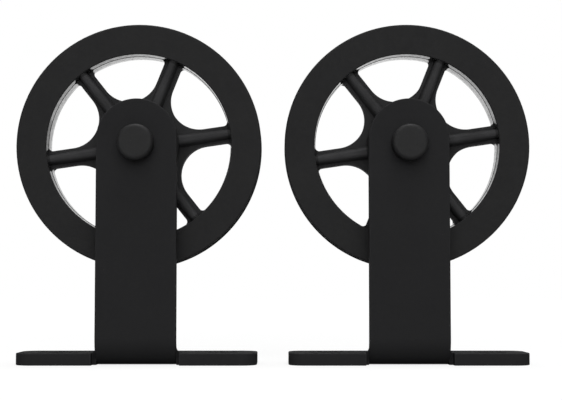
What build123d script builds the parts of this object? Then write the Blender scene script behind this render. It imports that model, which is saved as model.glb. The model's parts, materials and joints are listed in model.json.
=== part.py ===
from build123d import *
from math import cos, isclose, pi, radians, tan
import os

# Pair of top-mount hangers for a sliding barn door. Each is a flat steel strap bent into a
# T-shaped base, and a six-spoke grooved wheel that runs on the strap's axle bolt.
# Frame: +X along the rail, +Z up, -Y towards the face of the strap. The origin lies on the
# underside of the bases, midway between the hangers, in the middle plane of the grooves.

# Layout
axle_height = 110.0
hanger_gap = 11.7  # clear space between the two wheels

# Strap and base, cut from one bar and bent
strap_width = 40.0
strap_thickness = 6.0
crown_rise = 2.5  # the round top's centre stands this far above the axle
bend_inner_radius = 7.0
base_length = 120.0
base_depth = 30.0
base_corner_radius = 8.0
slot_length = 17.0
slot_width = 8.5
slot_end_margin = 10.0  # slot to the end of its wing
relief_width = 1.8  # notch that frees the bend from each wing
foot_radius = 2.5  # inner corner between the bend and a wing
strap_edge_radius = 0.5

# Wheel casting
wheel_diameter = 124.0
wheel_width = 16.0
groove_depth = 11.0
groove_floor_width = 8.0
groove_flare = 0.9  # each side, from floor to mouth
groove_corner_radius = 1.0
rim_wall = 4.2  # groove floor to the rim's inner face
rim_draft = 0.4  # taper of the inner face, from its edge in to the web
window_ledge = 0.15
web_thickness = 6.0
spoke_count = 6
spoke_start_angle = 8.4
spoke_width = 8.6
spoke_hub_fillet = 15.0
spoke_rim_fillet = 2.0
rib_height = 4.6
rib_hub_width = 6.8  # across the rib's foot, at the hub
rib_rim_width = 5.4  # the same at the rim
rib_taper = 15.0
rib_crest_fillet = 1.8
rib_rooting = 2.5  # length of a rib's end inside the hub and the rim
hub_wall = 5.0
hub_lip = 4.5  # hub past each face of the bearing
hub_shoulder_step = 2.5
hub_mouth_chamfer = 0.8
hub_edge_radius = 1.0
flange_edge_radius = 0.8
rim_edge_radius = 0.5

# Ball bearing
bearing_diameter = 30.0
bearing_width = 9.0
ball_diameter = 4.762
ball_count = 8
inner_race_wall = 3.45
outer_race_wall = 3.1
race_groove_ratio = 0.515  # groove radius over ball diameter
race_edge_radius = 0.3
shield_thickness = 0.5
shield_recess = 0.4
shield_seat_depth = 0.8
cage_wall = 2.0
cage_floor = 0.6
cage_lip = 1.4  # height of the cage's prongs past the ball centres

# Axle bolt and what it clamps
bolt_diameter = 10.0
bolt_thread_pitch = 1.5
bolt_thread_ratio = 0.54  # thread depth over pitch
bolt_thread_length = 18.0
bolt_tail = 3.5
bolt_end_chamfer = 0.8
head_overhang = 4.0
head_height = 7.0
head_edge_radius = 1.8
neck_setback = 0.5  # the square neck ends short of the strap's back
spacer_wall = 2.4
washer_rim = 5.0
washer_thickness = 2.0
nut_wall = 3.5
nut_sides = 6
nut_height = 10.0
nut_chamfer_angle = 30.0
nut_collar_wall = 1.2
nut_lip_thickness = 0.8
nut_lip_overhang = 0.8
insert_wall = 1.6
insert_thickness = 2.0

# Clearances
strap_gap = 5.0  # strap to wheel rim
washer_gap = 1.5  # hub to washer
shank_clearance = 0.05  # radial: bolt in bearing, nut and insert
spacer_clearance = 0.1  # radial: bolt in spacers
washer_clearance = 0.25  # radial: bolt in washer
neck_clearance = 0.15  # each side: square neck in strap
ball_clearance = 0.03  # ball to race and to cage pocket
shield_clearance = 0.25  # radial: shield to inner race

# Depths of faces, from the middle plane of the groove towards the front
wheel_face = wheel_width / 2
web_face = web_thickness / 2
bearing_face = bearing_width / 2
hub_face = bearing_face + hub_lip
strap_back = wheel_face + strap_gap
strap_front = strap_back + strap_thickness
# The same towards the back
washer_front = hub_face + washer_gap
washer_back = washer_front + washer_thickness
nut_back = washer_back + nut_height
bolt_end = nut_back + bolt_tail

# Radii
wheel_radius = wheel_diameter / 2
groove_floor_radius = wheel_radius - groove_depth
rim_inner_radius = groove_floor_radius - rim_wall
rim_web_radius = rim_inner_radius - rim_draft
window_radius = rim_web_radius - window_ledge
bearing_radius = bearing_diameter / 2
hub_radius = bearing_radius + hub_wall
shoulder_radius = bearing_radius - hub_shoulder_step
bolt_radius = bolt_diameter / 2
shank_radius = bolt_radius - shank_clearance
thread_depth = bolt_thread_ratio * bolt_thread_pitch
inner_shoulder_radius = bolt_radius + inner_race_wall
outer_shoulder_radius = bearing_radius - outer_race_wall
ball_radius = ball_diameter / 2
pitch_radius = (bolt_radius + bearing_radius) / 2
race_groove_radius = race_groove_ratio * ball_diameter
groove_offset = race_groove_radius - ball_radius - ball_clearance
pocket_radius = ball_radius + ball_clearance
spacer_bore_radius = bolt_radius + spacer_clearance
spacer_radius = spacer_bore_radius + spacer_wall
insert_radius = bolt_radius + insert_wall
nut_flat_radius = bolt_radius + nut_wall
nut_corner_radius = nut_flat_radius / cos(pi / nut_sides)

# Other lengths
thread_start = bolt_end - bolt_thread_length
ring_count = int((bolt_thread_length - bolt_end_chamfer) / bolt_thread_pitch)
hexagon_back = nut_back - insert_thickness - nut_lip_thickness
nut_chamfer = (nut_corner_radius - nut_flat_radius) * tan(radians(nut_chamfer_angle))
bend_outer_radius = bend_inner_radius + strap_thickness
crown_height = axle_height + crown_rise
strap_top = crown_height + strap_width / 2
foot_length = base_depth - base_corner_radius
slot_offset = base_length / 2 - slot_end_margin - slot_length / 2
rib_start = hub_radius - rib_rooting
rib_end = rim_web_radius + rib_rooting
hanger_offset = (max(wheel_diameter, base_length) + hanger_gap) / 2

# Views on the axle: the front view's normal points to the front, the section's X is +Y
front_view = Plane(origin=(0, 0, axle_height), x_dir=(1, 0, 0), z_dir=(0, -1, 0))
section_view = Plane(origin=(0, 0, axle_height), x_dir=(0, 1, 0), z_dir=(1, 0, 0))
axle_axis = Axis((0, 0, axle_height), (0, 1, 0))
# Views from the foot of the strap's front face
strap_side_view = Plane(origin=(0, -strap_front, 0), x_dir=(0, 1, 0), z_dir=(1, 0, 0))
strap_front_view = Plane(origin=(0, -strap_front, 0), x_dir=(1, 0, 0), z_dir=(0, -1, 0))
base_view = Plane(origin=(0, -strap_front, 0))


def corners_at(sketch, height):
    """The corners of a sketch that lie at one height above its own X axis."""
    return sketch.vertices().filter_by(lambda corner: isclose(corner.Y, height, abs_tol=1e-6))


# Side profile of the bent bar: upright, bend and foot
with BuildSketch() as bent_bar:
    with BuildLine():
        outer = FilletPolyline(
            (0, strap_top),
            (0, 0),
            (foot_length, 0),
            radius=bend_outer_radius,
        )
        inner = FilletPolyline(
            (foot_length, strap_thickness),
            (strap_thickness, strap_thickness),
            (strap_thickness, strap_top),
            radius=bend_inner_radius,
        )
        Line(outer @ 1, inner @ 0)
        Line(inner @ 1, outer @ 0)
    make_face()

with BuildPart() as strap_bar:
    with BuildSketch(strap_side_view):
        add(bent_bar.sketch)
    extrude(amount=strap_width / 2, both=True)
    with BuildSketch(strap_front_view):
        Rectangle(strap_width, crown_height, align=(Align.CENTER, Align.MIN))
        with Locations((0, crown_height)):
            Circle(strap_width / 2)
    extrude(amount=-base_depth, mode=Mode.INTERSECT)
    # Long edges of the upright, which carry on round its top and through the bend
    upright_faces = strap_bar.faces().filter_by(Axis.Y).sort_by(SortBy.AREA)[-2:]
    fillet(upright_faces.edges().filter_by(Axis.Z), radius=strap_edge_radius)

# Foot: the bend's inner side, which flares into the wings
with BuildPart() as strap_foot:
    with BuildSketch(strap_side_view):
        add(bent_bar.sketch)
    extrude(amount=strap_width / 2 + 2 * foot_radius, both=True)
    with BuildSketch(strap_front_view) as foot_outline:
        Rectangle(
            strap_width,
            strap_thickness + foot_radius,
            align=(Align.CENTER, Align.MIN),
        )
        Rectangle(
            strap_width + 4 * foot_radius,
            strap_thickness,
            align=(Align.CENTER, Align.MIN),
        )
        fillet(
            corners_at(foot_outline, strap_thickness).sort_by(Axis.X)[1:-1],
            radius=foot_radius,
        )
    extrude(amount=-base_depth, mode=Mode.INTERSECT)
    with BuildSketch(strap_front_view):
        Rectangle(2 * base_length, 2 * strap_top)
    extrude(amount=-strap_thickness, mode=Mode.SUBTRACT)

# Base plate with its slots, open under the bend and notched beside it
with BuildPart() as base_plate:
    with BuildSketch(base_view):
        with Locations((0, base_depth / 2)):
            RectangleRounded(base_length, base_depth, base_corner_radius)
        with Locations((slot_offset, base_depth / 2), (-slot_offset, base_depth / 2)):
            SlotOverall(slot_length, slot_width, mode=Mode.SUBTRACT)
    extrude(amount=strap_thickness)
    fillet(base_plate.edges().group_by(Axis.Z)[0], radius=strap_edge_radius)
    fillet(base_plate.edges().group_by(Axis.Z)[-1], radius=strap_edge_radius)
    with BuildSketch(base_view):
        Rectangle(strap_width, 2 * bend_outer_radius)
        Rectangle(strap_width + 2 * relief_width, 2 * strap_thickness)
    extrude(amount=strap_thickness, mode=Mode.SUBTRACT)

with BuildPart() as hanger_strap:
    add(strap_bar.part)
    add(strap_foot.part)
    add(base_plate.part)
    # Square hole for the axle bolt's neck
    with BuildSketch(front_view.offset(strap_back)):
        Rectangle(bolt_diameter + 2 * neck_clearance, bolt_diameter + 2 * neck_clearance)
    extrude(amount=strap_thickness, mode=Mode.SUBTRACT)

# Windows of the wheel: a disc cut by the spokes, rounded at the hub and at the rim
with BuildSketch() as windows:
    Circle(window_radius)
    with PolarLocations(window_radius / 2, spoke_count, start_angle=spoke_start_angle):
        Rectangle(window_radius, spoke_width, mode=Mode.SUBTRACT)
    fillet(windows.vertices().group_by(SortBy.DISTANCE)[-1], radius=spoke_rim_fillet)
    fillet(windows.vertices().group_by(SortBy.DISTANCE)[0], radius=spoke_hub_fillet)

# Ribs on the front of the spokes: round-backed, narrower towards the rim, with their
# ends rooted in the hub and the rim
with BuildSketch() as rib_plan:
    with BuildLine():
        Polyline(
            (rib_start, rib_hub_width / 2),
            (rib_start, -rib_hub_width / 2),
            (rib_end, -rib_rim_width / 2),
            (rib_end, rib_rim_width / 2),
            close=True,
        )
    make_face()

with BuildPart() as ribs:
    with BuildSketch(front_view.offset(web_face)):
        with PolarLocations(0, spoke_count, start_angle=spoke_start_angle):
            add(rib_plan.sketch)
    extrude(amount=rib_height, taper=rib_taper)
    fillet(ribs.faces().group_by(Axis.Y)[0].edges(), radius=rib_crest_fillet)

with BuildPart() as wheel:
    with BuildSketch(section_view) as rim_section:
        with BuildLine():
            Polyline(
                (-wheel_face, rim_inner_radius),
                (-wheel_face, wheel_radius),
                (-groove_floor_width / 2 - groove_flare, wheel_radius),
                (-groove_floor_width / 2, groove_floor_radius),
                (groove_floor_width / 2, groove_floor_radius),
                (groove_floor_width / 2 + groove_flare, wheel_radius),
                (wheel_face, wheel_radius),
                (wheel_face, rim_inner_radius),
                (web_face, rim_web_radius),
                (-web_face, rim_web_radius),
                close=True,
            )
        make_face()
        fillet(corners_at(rim_section, wheel_radius), radius=flange_edge_radius)
        fillet(corners_at(rim_section, groove_floor_radius), radius=groove_corner_radius)
        fillet(corners_at(rim_section, rim_inner_radius), radius=rim_edge_radius)
    revolve(axis=axle_axis)
    with BuildSketch(section_view) as hub_section:
        with BuildLine():
            Polyline(
                (-hub_face, shoulder_radius),
                (-hub_face, hub_radius),
                (hub_face, hub_radius),
                (hub_face, bearing_radius + hub_mouth_chamfer),
                (hub_face - hub_mouth_chamfer, bearing_radius),
                (-bearing_face, bearing_radius),
                (-bearing_face, shoulder_radius),
                close=True,
            )
        make_face()
        fillet(corners_at(hub_section, hub_radius), radius=hub_edge_radius)
    revolve(axis=axle_axis)
    with BuildSketch(front_view.offset(-web_face)):
        Circle(rim_web_radius + rim_wall / 2)
        Circle(hub_radius - hub_wall / 2, mode=Mode.SUBTRACT)
        add(windows.sketch, mode=Mode.SUBTRACT)
    extrude(amount=web_thickness)
    add(ribs.part)
    add(ribs.part.mirror(Plane.XZ))

with BuildPart() as bearing_outer_race:
    with BuildSketch(section_view) as outer_race_section:
        with Locations((0, (outer_shoulder_radius + bearing_radius) / 2)):
            Rectangle(bearing_width, outer_race_wall)
        fillet(
            corners_at(outer_race_section, bearing_radius),
            radius=race_edge_radius,
        )
        with Locations((0, pitch_radius - groove_offset)):
            Circle(race_groove_radius, mode=Mode.SUBTRACT)
        # Seats for the two shields
        with Locations(
            (bearing_face - shield_recess / 2 - shield_thickness / 2, outer_shoulder_radius),
            (shield_recess / 2 + shield_thickness / 2 - bearing_face, outer_shoulder_radius),
        ):
            Rectangle(
                shield_recess + shield_thickness,
                2 * shield_seat_depth,
                mode=Mode.SUBTRACT,
            )
    revolve(axis=axle_axis)

with BuildPart() as bearing_inner_race:
    with BuildSketch(section_view) as inner_race_section:
        with Locations((0, (bolt_radius + inner_shoulder_radius) / 2)):
            Rectangle(bearing_width, inner_race_wall)
        fillet(corners_at(inner_race_section, bolt_radius), radius=race_edge_radius)
        with Locations((0, pitch_radius + groove_offset)):
            Circle(race_groove_radius, mode=Mode.SUBTRACT)
    revolve(axis=axle_axis)

with BuildPart() as bearing_balls:
    with Locations(front_view):
        with PolarLocations(pitch_radius, ball_count):
            Sphere(ball_radius)

# Crown cage: a ring with a ball pocket in each gap, open towards the front
with BuildPart() as bearing_cage:
    with BuildSketch(front_view.offset(-pocket_radius - cage_floor)):
        Circle(pitch_radius + cage_wall / 2)
        Circle(pitch_radius - cage_wall / 2, mode=Mode.SUBTRACT)
    extrude(amount=pocket_radius + cage_floor + cage_lip)
    with Locations(front_view):
        with PolarLocations(pitch_radius, ball_count):
            Sphere(pocket_radius, mode=Mode.SUBTRACT)

with BuildPart() as bearing_front_shield:
    with BuildSketch(front_view.offset(bearing_face - shield_recess - shield_thickness)):
        Circle(outer_shoulder_radius + shield_seat_depth)
        Circle(inner_shoulder_radius + shield_clearance, mode=Mode.SUBTRACT)
    extrude(amount=shield_thickness)

with BuildPart() as bearing_rear_shield:
    with BuildSketch(front_view.offset(shield_recess - bearing_face)):
        Circle(outer_shoulder_radius + shield_seat_depth)
        Circle(inner_shoulder_radius + shield_clearance, mode=Mode.SUBTRACT)
    extrude(amount=shield_thickness)

# Axle bolt: flat round head, square neck, and a thread made of rings
with BuildPart() as axle_bolt:
    with BuildSketch(section_view) as bolt_section:
        with BuildLine():
            points = [
                (-strap_front - head_height, 0),
                (-strap_front - head_height, bolt_radius + head_overhang),
                (-strap_front, bolt_radius + head_overhang),
                (-strap_front, shank_radius),
            ]
            for ring in range(ring_count):
                crest = thread_start + ring * bolt_thread_pitch
                points.append((crest, shank_radius))
                points.append((crest + bolt_thread_pitch / 2, shank_radius - thread_depth))
            points.append((thread_start + ring_count * bolt_thread_pitch, shank_radius))
            points.append((bolt_end - bolt_end_chamfer, shank_radius))
            points.append((bolt_end, shank_radius - bolt_end_chamfer))
            points.append((bolt_end, 0))
            Polyline(*points, close=True)
        make_face()
        fillet(
            corners_at(bolt_section, bolt_radius + head_overhang).sort_by(Axis.X)[0],
            radius=head_edge_radius,
        )
    revolve(axis=axle_axis)
    with BuildSketch(front_view.offset(strap_back + neck_setback)):
        Rectangle(bolt_diameter, bolt_diameter)
    extrude(amount=strap_thickness - neck_setback)

with BuildPart() as front_spacer:
    with BuildSketch(front_view.offset(bearing_face)):
        Circle(spacer_radius)
        Circle(spacer_bore_radius, mode=Mode.SUBTRACT)
    extrude(amount=strap_back - bearing_face)

with BuildPart() as rear_spacer:
    with BuildSketch(front_view.offset(-washer_front)):
        Circle(spacer_radius)
        Circle(spacer_bore_radius, mode=Mode.SUBTRACT)
    extrude(amount=washer_front - bearing_face)

with BuildPart() as rear_washer:
    with BuildSketch(front_view.offset(-washer_back)):
        Circle(bolt_radius + washer_rim)
        Circle(bolt_radius + washer_clearance, mode=Mode.SUBTRACT)
    extrude(amount=washer_thickness)

# Lock nut: a hexagon with a round collar, turned over the edge of the nylon insert
with BuildPart() as lock_nut:
    with BuildSketch(section_view):
        with BuildLine():
            Polyline(
                (washer_back, bolt_radius),
                (washer_back, nut_flat_radius),
                (washer_back + nut_chamfer, nut_corner_radius),
                (hexagon_back - nut_chamfer, nut_corner_radius),
                (hexagon_back, nut_flat_radius),
                (hexagon_back, insert_radius + nut_collar_wall),
                (nut_back, insert_radius + nut_collar_wall),
                (nut_back, insert_radius - nut_lip_overhang),
                (nut_back - nut_lip_thickness, insert_radius - nut_lip_overhang),
                (nut_back - nut_lip_thickness, insert_radius),
                (hexagon_back, insert_radius),
                (hexagon_back, bolt_radius),
                close=True,
            )
        make_face()
    revolve(axis=axle_axis)
    with BuildSketch(front_view.offset(-nut_back)):
        RegularPolygon(nut_flat_radius, nut_sides, major_radius=False)
    extrude(amount=nut_height, mode=Mode.INTERSECT)

with BuildPart() as nut_insert:
    with BuildSketch(front_view.offset(nut_lip_thickness - nut_back)):
        Circle(insert_radius)
        Circle(bolt_radius, mode=Mode.SUBTRACT)
    extrude(amount=insert_thickness)

pieces = {
    "hanger_strap": hanger_strap,
    "wheel": wheel,
    "bearing_outer_race": bearing_outer_race,
    "bearing_inner_race": bearing_inner_race,
    "bearing_balls": bearing_balls,
    "bearing_cage": bearing_cage,
    "bearing_front_shield": bearing_front_shield,
    "bearing_rear_shield": bearing_rear_shield,
    "axle_bolt": axle_bolt,
    "front_spacer": front_spacer,
    "rear_spacer": rear_spacer,
    "rear_washer": rear_washer,
    "lock_nut": lock_nut,
    "nut_insert": nut_insert,
}

os.makedirs("parts", exist_ok=True)
for side, offset in (("left", -hanger_offset), ("right", hanger_offset)):
    for name, piece in pieces.items():
        placed = piece.part.moved(Location((offset, 0, 0)))
        placed.label = f"{side}_{name}"
        export_step(placed, f"parts/{placed.label}.step")
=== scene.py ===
import bmesh
import bpy
import json
import math
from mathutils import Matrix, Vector


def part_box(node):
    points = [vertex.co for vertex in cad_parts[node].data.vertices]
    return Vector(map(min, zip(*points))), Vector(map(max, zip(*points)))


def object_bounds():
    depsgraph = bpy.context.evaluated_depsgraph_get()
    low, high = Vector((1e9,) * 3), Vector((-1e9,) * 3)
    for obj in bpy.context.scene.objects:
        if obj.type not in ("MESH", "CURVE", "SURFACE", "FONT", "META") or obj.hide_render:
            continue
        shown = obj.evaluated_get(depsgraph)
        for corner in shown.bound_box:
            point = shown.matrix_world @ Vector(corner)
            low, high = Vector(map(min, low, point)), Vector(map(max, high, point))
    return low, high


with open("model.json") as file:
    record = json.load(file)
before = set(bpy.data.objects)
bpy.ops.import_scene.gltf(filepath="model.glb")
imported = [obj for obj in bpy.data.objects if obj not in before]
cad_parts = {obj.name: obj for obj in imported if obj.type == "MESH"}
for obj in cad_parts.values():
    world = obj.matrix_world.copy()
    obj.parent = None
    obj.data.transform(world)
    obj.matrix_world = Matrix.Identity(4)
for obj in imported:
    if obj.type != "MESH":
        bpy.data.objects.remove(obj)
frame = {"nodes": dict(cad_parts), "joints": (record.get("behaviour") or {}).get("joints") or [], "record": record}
cadBox = [list(corner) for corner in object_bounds()]
mm = 0.001
noiseLow, noiseHigh = 0.3, 0.7  # most values of a noise texture lie between these
print("frame loaded,", len(frame["nodes"]), "nodes")


def linearColour(hexCode):  # sRGB hex to the linear colour that a socket takes
    channels = [int(hexCode[i:i + 2], 16) / 255 for i in (1, 3, 5)]
    return [c / 12.92 if c <= 0.04045 else ((c + 0.055) / 1.055) ** 2.4
            for c in channels] + [1]


def addNode(tree, kind, settings, links=()):  # settings go to properties or sockets
    node = tree.nodes.new(kind)
    for name, value in settings.items():
        if isinstance(name, str) and hasattr(node, name):
            setattr(node, name, value)
        else:
            node.inputs[name].default_value = value
    for socket, source in links:
        tree.links.new(source, node.inputs[socket])
    return node


# The sockets of Math and Mix nodes share their names, so they are reached by number:
# those of a Math node in order from 0, and those of a Mix node by these
mixFactor, mixNumberA, mixNumberB, mixColourA, mixColourB = 0, 2, 3, 6, 7
mixNumberOut, mixColourOut = 0, 2


def patternScale(spacing):  # a texture's scale from the spacing of its pattern in mm
    return 1 / (spacing * mm)


def newMaterial(name):
    material = bpy.data.materials.new(name)
    material.use_nodes = True
    material.node_tree.nodes.clear()
    return material


# What every powder coat here shares: edgeTurn is the cosine of the turn at which an edge
# counts as fully worn, and the smooth values hold where a coat lies smooth
coatBasics = {"ior": 1.5, "edgeTurn": 0.85, "edgeSamples": 4, "smoothIor": 1.7,
              "smoothRoughness": 0.12}


# Matt black powder coat: a faint sheen, broken up by the coat's own orange peel, with
# a few small nibs. Its edges are painted a little greyer, partly for the coat running thin
# there and partly as a painted highlight.
def powderCoat(name, look):
    material = newMaterial(name)
    tree = material.node_tree
    place = addNode(tree, "ShaderNodeTexCoord", {})
    cloud = addNode(tree, "ShaderNodeTexNoise",
                    {"Scale": patternScale(look["cloudSpacing"]), "Detail": 3.0},
                    [("Vector", place.outputs["Object"])])
    peel = addNode(tree, "ShaderNodeTexNoise",
                   {"Scale": patternScale(look["peelSpacing"]), "Detail": 2.0},
                   [("Vector", place.outputs["Object"])])
    grit = addNode(tree, "ShaderNodeTexVoronoi",
                   {"Scale": patternScale(look["gritSpacing"])},
                   [("Vector", place.outputs["Object"])])
    nibs = addNode(tree, "ShaderNodeTexVoronoi",
                   {"Scale": patternScale(look["nibSpacing"])},
                   [("Vector", place.outputs["Object"])])
    nib = addNode(tree, "ShaderNodeMapRange",
                  {"From Min": look["nibSize"] / look["nibSpacing"], "From Max": 0.0,
                   "To Max": look["nibTone"]},
                  [("Value", nibs.outputs["Distance"])])
    # Where the rounded normal leaves the face's own, there is an edge, painted greyer as thin coat and as a
    # painted highlight
    bevel = addNode(tree, "ShaderNodeBevel",
                    {"samples": coatBasics["edgeSamples"], "Radius": look["edgeReach"] * mm})
    flat = addNode(tree, "ShaderNodeNewGeometry", {})
    turn = addNode(tree, "ShaderNodeVectorMath", {"operation": "DOT_PRODUCT"},
                   [(0, bevel.outputs["Normal"]), (1, flat.outputs["Normal"])])
    edge = addNode(tree, "ShaderNodeMapRange",
                   {"From Min": 1.0, "From Max": coatBasics["edgeTurn"],
                    "To Max": look["edgeWearAndHighlight"]},
                   [("Value", turn.outputs["Value"])])
    tone = addNode(tree, "ShaderNodeMix",
                   {"data_type": "RGBA", mixColourA: linearColour(look["darkTone"]),
                    mixColourB: linearColour(look["lightTone"])},
                   [(mixFactor, cloud.outputs["Fac"])])
    # Edges get a painted highlight on top of their thin coat, and nibs show as paler specks
    wearHighlightAndNibs = addNode(tree, "ShaderNodeMath", {"operation": "MAXIMUM"},
                   [(0, edge.outputs["Result"]), (1, nib.outputs["Result"])])
    colour = addNode(tree, "ShaderNodeMix",
                     {"data_type": "RGBA", mixColourB: linearColour(look["wearAndPaintedLightTone"])},
                     [(mixFactor, wearHighlightAndNibs.outputs["Value"]),
                      (mixColourA, tone.outputs[mixColourOut])])
    rough = addNode(tree, "ShaderNodeMapRange",
                    {"From Min": noiseLow, "From Max": noiseHigh,
                     "To Min": look["roughness"] - look["roughnessSpread"],
                     "To Max": look["roughness"] + look["roughnessSpread"]},
                    [("Value", peel.outputs["Fac"])])
    gritBump = addNode(tree, "ShaderNodeBump", {"Distance": look["gritHeight"] * mm},
                       [("Height", grit.outputs["Distance"])])
    peelBump = addNode(tree, "ShaderNodeBump", {"Distance": look["peelHeight"] * mm},
                       [("Height", peel.outputs["Fac"]),
                        ("Normal", gritBump.outputs["Normal"])])
    gloss = rough
    if "wallRadius" in look:
        # Distance from the axle, with both wheels taken as the right-hand one
        spin = next(joint for joint in frame["joints"] if joint["name"] == "right_wheel_spin")
        centre = spin["pos_m"]
        where = addNode(tree, "ShaderNodeSeparateXYZ", {},
                        [("Vector", place.outputs["Object"])])
        side = addNode(tree, "ShaderNodeMath", {"operation": "ABSOLUTE"},
                       [(0, where.outputs["X"])])
        out = addNode(tree, "ShaderNodeMath", {"operation": "SUBTRACT", 1: centre[0]},
                      [(0, side.outputs["Value"])])
        up = addNode(tree, "ShaderNodeMath", {"operation": "SUBTRACT", 1: centre[2]},
                     [(0, where.outputs["Z"])])
        arm = addNode(tree, "ShaderNodeCombineXYZ", {},
                      [("X", out.outputs["Value"]), ("Z", up.outputs["Value"])])
        radius = addNode(tree, "ShaderNodeVectorMath", {"operation": "LENGTH"},
                         [(0, arm.outputs["Vector"])])
        # The rim's inner wall, which faces the axle, is turned before it is coated, so
        # the coat lies smoother there, apart from patches of thin spray
        lip = addNode(tree, "ShaderNodeMath",
                      {"operation": "COMPARE", 1: look["wallRadius"] * mm,
                       2: look["wallReach"] * mm},
                      [(0, radius.outputs["Value"])])
        ray = addNode(tree, "ShaderNodeVectorMath", {"operation": "NORMALIZE"},
                      [(0, arm.outputs["Vector"])])
        facing = addNode(tree, "ShaderNodeSeparateXYZ", {},
                         [("Vector", place.outputs["Normal"])])
        signX = addNode(tree, "ShaderNodeMath", {"operation": "SIGN"},
                        [(0, where.outputs["X"])])
        faceX = addNode(tree, "ShaderNodeMath", {"operation": "MULTIPLY"},
                        [(0, facing.outputs["X"]), (1, signX.outputs["Value"])])
        face = addNode(tree, "ShaderNodeCombineXYZ", {},
                       [("X", faceX.outputs["Value"]), ("Y", facing.outputs["Y"]),
                        ("Z", facing.outputs["Z"])])
        lean = addNode(tree, "ShaderNodeVectorMath", {"operation": "DOT_PRODUCT"},
                       [(0, face.outputs["Vector"]), (1, ray.outputs["Vector"])])
        inward = addNode(tree, "ShaderNodeMapRange",
                         {"From Min": look["inwardFrom"], "From Max": look["inwardTo"]},
                         [("Value", lean.outputs["Value"])])
        spray = addNode(tree, "ShaderNodeTexNoise",
                        {"Scale": patternScale(look["spraySpacing"]), "Detail": 4.0},
                        [("Vector", place.outputs["Object"])])
        patch = addNode(tree, "ShaderNodeMapRange",
                        {"From Min": look["sprayFrom"], "From Max": look["sprayTo"],
                         "To Min": look["sprayLeast"], "To Max": 1.0},
                        [("Value", spray.outputs["Fac"])])
        wall = addNode(tree, "ShaderNodeMath", {"operation": "MULTIPLY"},
                       [(0, lip.outputs["Value"]), (1, inward.outputs["Result"])])
        smooth = addNode(tree, "ShaderNodeMath", {"operation": "MULTIPLY"},
                         [(0, wall.outputs["Value"]), (1, patch.outputs["Result"])])
        gloss = addNode(tree, "ShaderNodeMapRange", {"To Max": look["wallRoughness"]},
                        [("Value", smooth.outputs["Value"]),
                         ("To Min", rough.outputs["Result"])])
        level = addNode(tree, "ShaderNodeMapRange",
                        {"To Min": 1.0, "To Max": look["wallBump"]},
                        [("Value", smooth.outputs["Value"])])
        for bump in (gritBump, peelBump):
            tree.links.new(level.outputs["Result"], bump.inputs["Strength"])
        # Between hub and rim the backs of the ribs, and less so the web, are painted paler, unevenly:
        # a painted highlight on the rib crests and painted light lifting the shade of the recessed web
        depth = addNode(tree, "ShaderNodeMath", {"operation": "ABSOLUTE"},
                        [(0, where.outputs["Y"])])
        raised = addNode(tree, "ShaderNodeMapRange",
                         {"From Min": look["ribFlank"] * mm, "From Max": look["ribBack"] * mm,
                          "To Min": look["webPaintedLight"], "To Max": look["ribPaintedHighlight"]},
                         [("Value", depth.outputs["Value"])])
        between = addNode(tree, "ShaderNodeMath",
                          {"operation": "COMPARE", 1: look["ribMiddle"] * mm,
                           2: look["ribReach"] * mm},
                          [(0, radius.outputs["Value"])])
        uneven = addNode(tree, "ShaderNodeMapRange",
                         {"From Min": look["paleFrom"], "From Max": look["paleTo"],
                          "To Min": look["paleLeast"]},
                         [("Value", cloud.outputs["Fac"])])
        ribs = addNode(tree, "ShaderNodeMath", {"operation": "MULTIPLY"},
                       [(0, raised.outputs["Result"]), (1, between.outputs["Value"])])
        paintedRibLight = addNode(tree, "ShaderNodeMath", {"operation": "MULTIPLY"},
                       [(0, ribs.outputs["Value"]), (1, uneven.outputs["Result"])])
        # Edge wear and highlight, nibs, and the painted light on ribs and web all lighten the colour here
        wearAndPaintedLight = addNode(tree, "ShaderNodeMath", {"operation": "MAXIMUM"},
                       [(0, wearHighlightAndNibs.outputs["Value"]), (1, paintedRibLight.outputs["Value"])])
        tree.links.new(wearAndPaintedLight.outputs["Value"], colour.inputs[mixFactor])
    shader = addNode(tree, "ShaderNodeBsdfPrincipled",
                     {"IOR": coatBasics["ior"], "Specular IOR Level": look["specular"],
                      "Coat Roughness": coatBasics["smoothRoughness"],
                      "Coat IOR": coatBasics["smoothIor"]},
                     [("Base Color", colour.outputs[mixColourOut]),
                      ("Roughness", gloss.outputs["Result"]),
                      ("Normal", peelBump.outputs["Normal"])])
    if "wallRadius" in look:
        tree.links.new(smooth.outputs["Value"], shader.inputs["Coat Weight"])
    addNode(tree, "ShaderNodeOutputMaterial", {}, [("Surface", shader.outputs["BSDF"])])
    return material


# Uncoated pieces, steel or nylon: a plain tone with the fine marks of turning, pressing
# or moulding, which change it and its gloss a little
def bareFinish(name, look):
    material = newMaterial(name)
    tree = material.node_tree
    place = addNode(tree, "ShaderNodeTexCoord", {})
    squeeze = addNode(tree, "ShaderNodeMapping", {"Scale": (1.0, look["markSqueeze"], 1.0)},
                      [("Vector", place.outputs["Object"])])
    marks = addNode(tree, "ShaderNodeTexNoise",
                    {"Scale": patternScale(look["markSpacing"]), "Detail": 2.0},
                    [("Vector", squeeze.outputs["Vector"])])
    tone = addNode(tree, "ShaderNodeMix",
                   {"data_type": "RGBA", mixColourA: linearColour(look["darkTone"]),
                    mixColourB: linearColour(look["lightTone"])},
                   [(mixFactor, marks.outputs["Fac"])])
    rough = addNode(tree, "ShaderNodeMapRange",
                    {"From Min": noiseLow, "From Max": noiseHigh,
                     "To Min": look["roughness"] - look["roughnessSpread"],
                     "To Max": look["roughness"] + look["roughnessSpread"]},
                    [("Value", marks.outputs["Fac"])])
    bump = addNode(tree, "ShaderNodeBump", {"Distance": look["markHeight"] * mm},
                   [("Height", marks.outputs["Fac"])])
    shader = addNode(tree, "ShaderNodeBsdfPrincipled", {"Metallic": look["metallic"]},
                     [("Base Color", tone.outputs[mixColourOut]),
                      ("Roughness", rough.outputs["Result"]),
                      ("Normal", bump.outputs["Normal"])])
    addNode(tree, "ShaderNodeOutputMaterial", {}, [("Surface", shader.outputs["BSDF"])])
    return material
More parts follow.
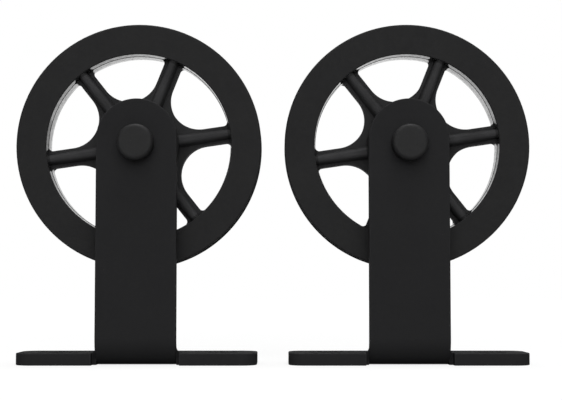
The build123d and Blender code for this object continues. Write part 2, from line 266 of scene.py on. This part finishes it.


# Spacings, heights, sizes and reaches are in mm. Peel, grit and turning marks are drawn
# coarser than the real ones, so that they show.
# The lighter tone along each finish's edges is partly thin coat and partly painted highlight.
strapFinish = {  # powder coat on bent flat bar: smooth and even, greyer along its edges
    "darkTone": "#1e1e1f", "lightTone": "#222223", "wearAndPaintedLightTone": "#3c3c3d",
    "roughness": 0.8, "roughnessSpread": 0.04, "specular": 0.12,
    "cloudSpacing": 22.0, "peelSpacing": 1.5, "peelHeight": 0.02,
    "gritSpacing": 0.9, "gritHeight": 0.006, "edgeReach": 0.8, "edgeWearAndHighlight": 0.5,
    "nibSpacing": 9.0, "nibSize": 0.4, "nibTone": 0.5,
}
wheelFinish = {  # powder coat on cast iron: less even, since the sand grain shows through
    "darkTone": "#1f1f20", "lightTone": "#242424", "wearAndPaintedLightTone": "#363637",
    "roughness": 0.76, "roughnessSpread": 0.05, "specular": 0.12,
    "cloudSpacing": 16.0, "peelSpacing": 2.2, "peelHeight": 0.03,
    "gritSpacing": 1.1, "gritHeight": 0.015, "edgeReach": 0.6, "edgeWearAndHighlight": 0.2,
    "nibSpacing": 8.0, "nibSize": 0.4, "nibTone": 0.6,
    # the rim's inner wall
    "wallRadius": 46.2, "wallReach": 0.6, "wallRoughness": 0.12, "wallBump": 0.15,
    "inwardFrom": -0.6, "inwardTo": -0.9,
    "spraySpacing": 1.2, "sprayFrom": 0.4, "sprayTo": 0.5, "sprayLeast": 0.65,
    # painted highlight on rib crests and painted light on the web, by distance from axle and middle plane
    "ribMiddle": 33.0, "ribReach": 12.4, "ribFlank": 5.2, "ribBack": 7.5,
    "webPaintedLight": 0.4, "ribPaintedHighlight": 0.88, "paleFrom": 0.4, "paleTo": 0.6, "paleLeast": 0.6,
}
boltFinish = {  # thin black coat on forged steel: darker, and a little shinier than powder
    "darkTone": "#191919", "lightTone": "#1d1d1e", "wearAndPaintedLightTone": "#383839",
    "roughness": 0.62, "roughnessSpread": 0.05, "specular": 0.2,
    "cloudSpacing": 9.0, "peelSpacing": 1.2, "peelHeight": 0.02,
    "gritSpacing": 0.8, "gritHeight": 0.01, "edgeReach": 0.5, "edgeWearAndHighlight": 0.15,
    "nibSpacing": 5.0, "nibSize": 0.3, "nibTone": 0.6,
}
raceFinish = {  # ground bearing steel: bright grey, with fine rings round the axle
    "darkTone": "#8d8f92", "lightTone": "#a9abae", "metallic": 1.0,
    "roughness": 0.25, "roughnessSpread": 0.06, "markSpacing": 0.8,
    "markSqueeze": 6.0, "markHeight": 0.004,
}
shieldFinish = {  # pressed sheet steel: a duller and more even grey than the races
    "darkTone": "#77797b", "lightTone": "#8b8d90", "metallic": 1.0,
    "roughness": 0.4, "roughnessSpread": 0.08, "markSpacing": 1.2,
    "markSqueeze": 1.0, "markHeight": 0.006,
}
cageFinish = {  # moulded nylon: off-white with a soft gloss
    "darkTone": "#b9b4a6", "lightTone": "#c9c5b8", "metallic": 0.0,
    "roughness": 0.45, "roughnessSpread": 0.05, "markSpacing": 1.5,
    "markSqueeze": 1.0, "markHeight": 0.01,
}
insertFinish = {  # moulded nylon dyed blue-grey, the locking ring in the nut
    "darkTone": "#5b6470", "lightTone": "#6c7681", "metallic": 0.0,
    "roughness": 0.45, "roughnessSpread": 0.05, "markSpacing": 1.5,
    "markSqueeze": 1.0, "markHeight": 0.01,
}

finishes = {
    "powder_coated_steel": powderCoat("powderCoatedSteel", strapFinish),
    "powder_coated_iron": powderCoat("powderCoatedCastIron", wheelFinish),
    "coated_bolt_steel": powderCoat("blackCoatedBoltSteel", boltFinish),
    "bearing_steel": bareFinish("groundBearingSteel", raceFinish),
    "shield_steel": bareFinish("pressedShieldSteel", shieldFinish),
    "nylon_cage": bareFinish("mouldedNylonCage", cageFinish),
    "nylon_insert": bareFinish("mouldedNylonInsert", insertFinish),
}
for part in frame["record"]["subparts"]:
    node = frame["nodes"][part["node"]]
    node.data.materials.clear()
    node.data.materials.append(finishes[part["material_slot"]])

# Floor: plain pale matt paper with a faint grain. It turns to white further out and keeps
# the part's soft shadow. Lengths are in metres, but the grain is in mm. The bounce tone is
# what lights the part from below, and the rear white is what gloss on the part mirrors.
floorLook = {
    "paper": "#e0e0e0", "bouncePaper": "#9c9c9c", "whiteStrength": 1.04,
    "nearShare": 0.72, "nearReach": 0.3, "farReach": 0.9, "rearFrom": 0.05, "rearTo": 0.3,
    "halfSize": 4.0, "gridSteps": 8, "grainSpacing": 3.0, "grainHeight": 0.02,
}
floorMaterial = newMaterial("matPaper")
tree = floorMaterial.node_tree
rayKind = addNode(tree, "ShaderNodeLightPath", {})
place = addNode(tree, "ShaderNodeTexCoord", {})
grain = addNode(tree, "ShaderNodeTexNoise",
                {"Scale": patternScale(floorLook["grainSpacing"]), "Detail": 2.0},
                [("Vector", place.outputs["Object"])])
bump = addNode(tree, "ShaderNodeBump", {"Distance": floorLook["grainHeight"] * mm},
               [("Height", grain.outputs["Fac"])])
paperTone = addNode(tree, "ShaderNodeMix",
                    {"data_type": "RGBA", mixColourA: linearColour(floorLook["bouncePaper"]),
                     mixColourB: linearColour(floorLook["paper"])},
                    [(mixFactor, rayKind.outputs["Is Camera Ray"])])
paper = addNode(tree, "ShaderNodeBsdfDiffuse", {},
                [("Color", paperTone.outputs[mixColourOut]),
                 ("Normal", bump.outputs["Normal"])])
white = addNode(tree, "ShaderNodeEmission", {"Strength": floorLook["whiteStrength"]})
reach = addNode(tree, "ShaderNodeVectorMath", {"operation": "LENGTH"},
                [(0, place.outputs["Object"])])
fade = addNode(tree, "ShaderNodeMapRange",
               {"interpolation_type": "SMOOTHSTEP", "From Min": floorLook["nearReach"],
                "From Max": floorLook["farReach"], "To Min": floorLook["nearShare"]},
               [("Value", reach.outputs["Value"])])
direct = addNode(tree, "ShaderNodeMath", {"operation": "MAXIMUM"},
                 [(0, rayKind.outputs["Is Camera Ray"]),
                  (1, rayKind.outputs["Is Transmission Ray"])])
seen = addNode(tree, "ShaderNodeMath", {"operation": "MULTIPLY"},
               [(0, direct.outputs["Value"]), (1, fade.outputs["Result"])])
depth = addNode(tree, "ShaderNodeSeparateXYZ", {}, [("Vector", place.outputs["Object"])])
rear = addNode(tree, "ShaderNodeMapRange",
               {"From Min": floorLook["rearFrom"], "From Max": floorLook["rearTo"]},
               [("Value", depth.outputs["Y"])])
glossy = addNode(tree, "ShaderNodeMath", {"operation": "MULTIPLY"},
                 [(0, rayKind.outputs["Is Glossy Ray"]), (1, rear.outputs["Result"])])
share = addNode(tree, "ShaderNodeMath", {"operation": "MAXIMUM"},
                [(0, seen.outputs["Value"]), (1, glossy.outputs["Value"])])
both = addNode(tree, "ShaderNodeMixShader", {},
               [(0, share.outputs["Value"]), (1, paper.outputs["BSDF"]),
                (2, white.outputs["Emission"])])
addNode(tree, "ShaderNodeOutputMaterial", {}, [("Surface", both.outputs["Shader"])])
floorMesh = bpy.data.meshes.new("studioFloor")
sheet = bmesh.new()
bmesh.ops.create_grid(sheet, x_segments=floorLook["gridSteps"],
                      y_segments=floorLook["gridSteps"], size=floorLook["halfSize"])
sheet.to_mesh(floorMesh)
sheet.free()
floorMesh.materials.append(floorMaterial)
floor = bpy.data.objects.new("studioFloor", floorMesh)
bpy.context.collection.objects.link(floor)

# Room: white where the camera looks and in reflections of what lies behind the part
roomLook = {"ambient": 0.12, "behind": 0.85, "behindFrom": 0.88, "behindTo": 0.96}
world = bpy.data.worlds.new("studioRoom")
bpy.context.scene.world = world
world.use_nodes = True
tree = world.node_tree
tree.nodes.clear()
rayKind = addNode(tree, "ShaderNodeLightPath", {})
direction = addNode(tree, "ShaderNodeTexCoord", {})
split = addNode(tree, "ShaderNodeSeparateXYZ", {},
                [("Vector", direction.outputs["Generated"])])
behind = addNode(tree, "ShaderNodeMapRange",
                 {"From Min": roomLook["behindFrom"], "From Max": roomLook["behindTo"],
                  "To Min": roomLook["ambient"], "To Max": roomLook["behind"]},
                 [("Value", split.outputs["Y"])])
glossy = addNode(tree, "ShaderNodeMix",
                 {"data_type": "FLOAT", mixNumberA: roomLook["ambient"]},
                 [(mixFactor, rayKind.outputs["Is Glossy Ray"]),
                  (mixNumberB, behind.outputs["Result"])])
direct = addNode(tree, "ShaderNodeMath", {"operation": "MAXIMUM"},
                 [(0, rayKind.outputs["Is Camera Ray"]),
                  (1, rayKind.outputs["Is Transmission Ray"])])
seen = addNode(tree, "ShaderNodeMix", {"data_type": "FLOAT", mixNumberB: 1.0},
               [(mixFactor, direct.outputs["Value"]),
                (mixNumberA, glossy.outputs[mixNumberOut])])
backing = addNode(tree, "ShaderNodeBackground", {"Color": (1.0, 1.0, 1.0, 1.0)},
                  [("Strength", seen.outputs[mixNumberOut])])
addNode(tree, "ShaderNodeOutputWorld", {}, [("Surface", backing.outputs["Background"])])

# Softboxes, by place and width in metres and power in watts
softboxes = {
    "keySoftbox": {"place": (0.1, -2.3, 1.8), "width": 3.2, "power": 70.0},
    "frontSoftbox": {"place": (-0.2, -3.2, 0.5), "width": 2.4, "power": 25.0},
    "topSoftbox": {"place": (0.1, 0.1, 2.6), "width": 1.6, "power": 60.0},
}
middle = (Vector(cadBox[0]) + Vector(cadBox[1])) / 2
for name, box in softboxes.items():
    data = bpy.data.lights.new(name, "AREA")
    data.shape = "SQUARE"
    data.size = box["width"]
    data.energy = box["power"]
    lamp = bpy.data.objects.new(name, data)
    lamp.location = box["place"]
    lamp.rotation_euler = (middle - Vector(box["place"])).to_track_quat("-Z", "Y").to_euler()
    bpy.context.collection.objects.link(lamp)
print("floor, room and", len(softboxes), "softboxes made")

# Camera: low and close, tilted up a little, so the bases show a sliver of their tops.
# Its place is in mm, in front of the straps and above the floor.
cameraLook = {"distance": 600.0, "height": 37.0, "sideways": 4.1, "pitch": 3.2,
              "lens": 77.8, "sensor": 36.0, "shiftUp": 0.04}
cameraData = bpy.data.cameras.new("frontCamera")
cameraData.lens = cameraLook["lens"]
cameraData.sensor_width = cameraLook["sensor"]
cameraData.shift_y = cameraLook["shiftUp"]
camera = bpy.data.objects.new("frontCamera", cameraData)
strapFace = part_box("left_hanger_strap")[0][1]
camera.location = (cameraLook["sideways"] * mm, strapFace - cameraLook["distance"] * mm,
                   cameraLook["height"] * mm)
camera.rotation_euler = (math.radians(90 + cameraLook["pitch"]), 0, 0)
bpy.context.collection.objects.link(camera)
bpy.context.scene.camera = camera
bpy.context.scene.view_settings.view_transform = "Standard"
print("camera set")
